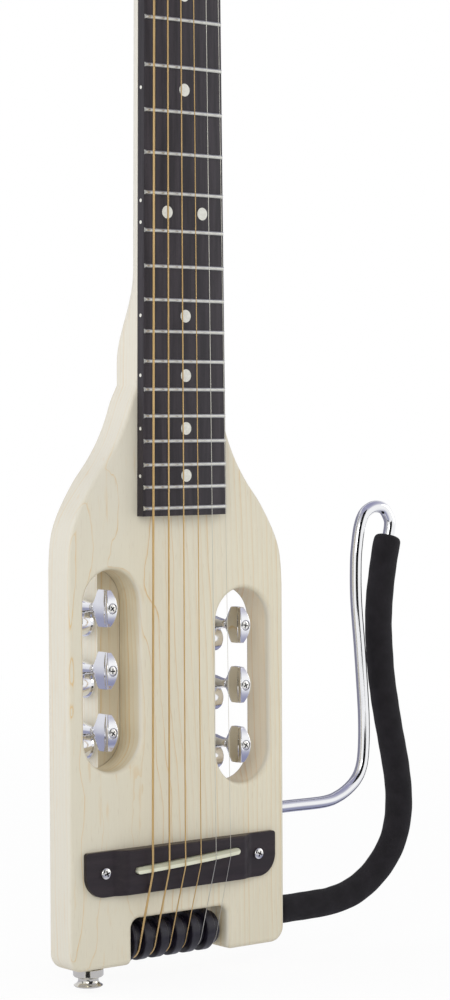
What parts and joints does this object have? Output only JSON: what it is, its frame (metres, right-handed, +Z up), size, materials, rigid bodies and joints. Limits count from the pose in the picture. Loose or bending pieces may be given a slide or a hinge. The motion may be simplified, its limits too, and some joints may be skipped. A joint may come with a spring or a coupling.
{
  "type": "headless travel guitar",
  "caption": "Small headless steel-string guitar: tuners in the body's slots, rollers at the tail and a bent leg rest with a foam sleeve.",
  "frame": {"origin": "centre of the flat patch above the string channel, on the rear block's back face", "axes": "+Z up the neck to the head end, +Y out of the back, +X to the treble side; the strings face -Y"},
  "size_m": [0.2321, 0.0551, 0.7223],
  "materials": {
    "maple": "satin, pale",
    "board_wood": "satin, near black, with steel frets",
    "bridge_wood": "satin, near black",
    "bone_white": "polished, cream white",
    "steel": "plain steel",
    "black_steel": "satin black",
    "pickup_foil": "foil",
    "nickel": "nickel plated",
    "bronze_wire": "wound bronze",
    "plain_wire": "plain steel wire",
    "chrome": "mirror polished",
    "black_plastic": "glossy black",
    "foam": "matt closed-cell foam"
  },
  "bodies": {
    "instrument": {"neck_body": "maple", "rear_block": "maple", "fretboard": "board_wood", "nut": "bone_white", "truss_rod": "steel", "string_anchor": "black_steel", "bridge": "bridge_wood", "saddle": "bone_white", "pickup_strip": "pickup_foil", "bridge_screw_bass": "nickel", "anchor_screw_bass": "black_steel", "bridge_screw_treble": "nickel", "anchor_screw_treble": "black_steel", "roller_axle": "steel", "end_pin_jack": "nickel", "string_1": "bronze_wire", "string_2": "bronze_wire", "string_3": "bronze_wire", "string_4": "bronze_wire", "string_5": "plain_wire", "string_6": "plain_wire", "tuner_housing_1": "chrome", "tuner_housing_2": "chrome", "tuner_housing_3": "chrome", "tuner_housing_4": "chrome", "tuner_housing_5": "chrome", "tuner_housing_6": "chrome"},
    "key_1": {"tuner_button_1": "chrome", "tuner_shaft_1": "steel", "button_screw_1": "nickel"},
    "post_1": {"tuner_post_1": "chrome"},
    "roller_1": {"tail_roller_1": "black_plastic"},
    "key_2": {"tuner_button_2": "chrome", "tuner_shaft_2": "steel", "button_screw_2": "nickel"},
    "post_2": {"tuner_post_2": "chrome"},
    "roller_2": {"tail_roller_2": "black_plastic"},
    "key_3": {"tuner_button_3": "chrome", "tuner_shaft_3": "steel", "button_screw_3": "nickel"},
    "post_3": {"tuner_post_3": "chrome"},
    "roller_3": {"tail_roller_3": "black_plastic"},
    "key_4": {"tuner_button_4": "chrome", "tuner_shaft_4": "steel", "button_screw_4": "nickel"},
    "post_4": {"tuner_post_4": "chrome"},
    "roller_4": {"tail_roller_4": "black_plastic"},
    "key_5": {"tuner_button_5": "chrome", "tuner_shaft_5": "steel", "button_screw_5": "nickel"},
    "post_5": {"tuner_post_5": "chrome"},
    "roller_5": {"tail_roller_5": "black_plastic"},
    "key_6": {"tuner_button_6": "chrome", "tuner_shaft_6": "steel", "button_screw_6": "nickel"},
    "post_6": {"tuner_post_6": "chrome"},
    "roller_6": {"tail_roller_6": "black_plastic"},
    "leg_rest": {"leg_rest_rod": "chrome", "leg_rest_sleeve": "foam"}
  },
  "joints": [
    {"name": "key_spin_1", "type": "hinge", "parent": "instrument", "child": "key_1", "pos_m": [-0.0422, -0.03445, -0.0957], "axis": [0, -1, 0], "continuous": true},
    {"name": "post_spin_1", "type": "hinge", "parent": "instrument", "child": "post_1", "pos_m": [-0.03, -0.01645, -0.1038], "axis": [1, 0, 0], "continuous": true},
    {"name": "roller_spin_1", "type": "hinge", "parent": "instrument", "child": "roller_1", "pos_m": [-0.02475, -0.03315, -0.2016], "axis": [1, 0, 0], "continuous": true},
    {"name": "key_spin_2", "type": "hinge", "parent": "instrument", "child": "key_2", "pos_m": [-0.0422, -0.03445, -0.0648], "axis": [0, -1, 0], "continuous": true},
    {"name": "post_spin_2", "type": "hinge", "parent": "instrument", "child": "post_2", "pos_m": [-0.03, -0.01645, -0.0729], "axis": [1, 0, 0], "continuous": true},
    {"name": "roller_spin_2", "type": "hinge", "parent": "instrument", "child": "roller_2", "pos_m": [-0.01485, -0.03315, -0.2016], "axis": [1, 0, 0], "continuous": true},
    {"name": "key_spin_3", "type": "hinge", "parent": "instrument", "child": "key_3", "pos_m": [-0.0422, -0.03445, -0.0339], "axis": [0, -1, 0], "continuous": true},
    {"name": "post_spin_3", "type": "hinge", "parent": "instrument", "child": "post_3", "pos_m": [-0.03, -0.01645, -0.042], "axis": [1, 0, 0], "continuous": true},
    {"name": "roller_spin_3", "type": "hinge", "parent": "instrument", "child": "roller_3", "pos_m": [-0.00495, -0.03315, -0.2016], "axis": [1, 0, 0], "continuous": true},
    {"name": "key_spin_4", "type": "hinge", "parent": "instrument", "child": "key_4", "pos_m": [0.0422, -0.03445, -0.0463], "axis": [0, -1, 0], "continuous": true},
    {"name": "post_spin_4", "type": "hinge", "parent": "instrument", "child": "post_4", "pos_m": [0.03, -0.01645, -0.0544], "axis": [1, 0, 0], "continuous": true},
    {"name": "roller_spin_4", "type": "hinge", "parent": "instrument", "child": "roller_4", "pos_m": [0.00495, -0.03315, -0.2016], "axis": [1, 0, 0], "continuous": true},
    {"name": "key_spin_5", "type": "hinge", "parent": "instrument", "child": "key_5", "pos_m": [0.0422, -0.03445, -0.0772], "axis": [0, -1, 0], "continuous": true},
    {"name": "post_spin_5", "type": "hinge", "parent": "instrument", "child": "post_5", "pos_m": [0.03, -0.01645, -0.0853], "axis": [1, 0, 0], "continuous": true},
    {"name": "roller_spin_5", "type": "hinge", "parent": "instrument", "child": "roller_5", "pos_m": [0.01485, -0.03315, -0.2016], "axis": [1, 0, 0], "continuous": true},
    {"name": "key_spin_6", "type": "hinge", "parent": "instrument", "child": "key_6", "pos_m": [0.0422, -0.03445, -0.1081], "axis": [0, -1, 0], "continuous": true},
    {"name": "post_spin_6", "type": "hinge", "parent": "instrument", "child": "post_6", "pos_m": [0.03, -0.01645, -0.1162], "axis": [1, 0, 0], "continuous": true},
    {"name": "roller_spin_6", "type": "hinge", "parent": "instrument", "child": "roller_6", "pos_m": [0.02475, -0.03315, -0.2016], "axis": [1, 0, 0], "continuous": true},
    {"name": "leg_rest_slide", "type": "slide", "parent": "instrument", "child": "leg_rest", "axis": [1, 0, 0], "range_m": [0, 0.025]}
  ],
  "couplings": [
    {"joint": "post_spin_1", "follows": "key_spin_1", "ratio": -0.071429},
    {"joint": "roller_spin_1", "follows": "key_spin_1", "ratio": 0.028},
    {"joint": "post_spin_2", "follows": "key_spin_2", "ratio": -0.071429},
    {"joint": "roller_spin_2", "follows": "key_spin_2", "ratio": 0.027342},
    {"joint": "post_spin_3", "follows": "key_spin_3", "ratio": -0.071429},
    {"joint": "roller_spin_3", "follows": "key_spin_3", "ratio": 0.026712},
    {"joint": "post_spin_4", "follows": "key_spin_4", "ratio": -0.071429},
    {"joint": "roller_spin_4", "follows": "key_spin_4", "ratio": 0.026216},
    {"joint": "post_spin_5", "follows": "key_spin_5", "ratio": -0.071429},
    {"joint": "roller_spin_5", "follows": "key_spin_5", "ratio": 0.025708},
    {"joint": "post_spin_6", "follows": "key_spin_6", "ratio": -0.071429},
    {"joint": "roller_spin_6", "follows": "key_spin_6", "ratio": 0.025424}
  ]
}
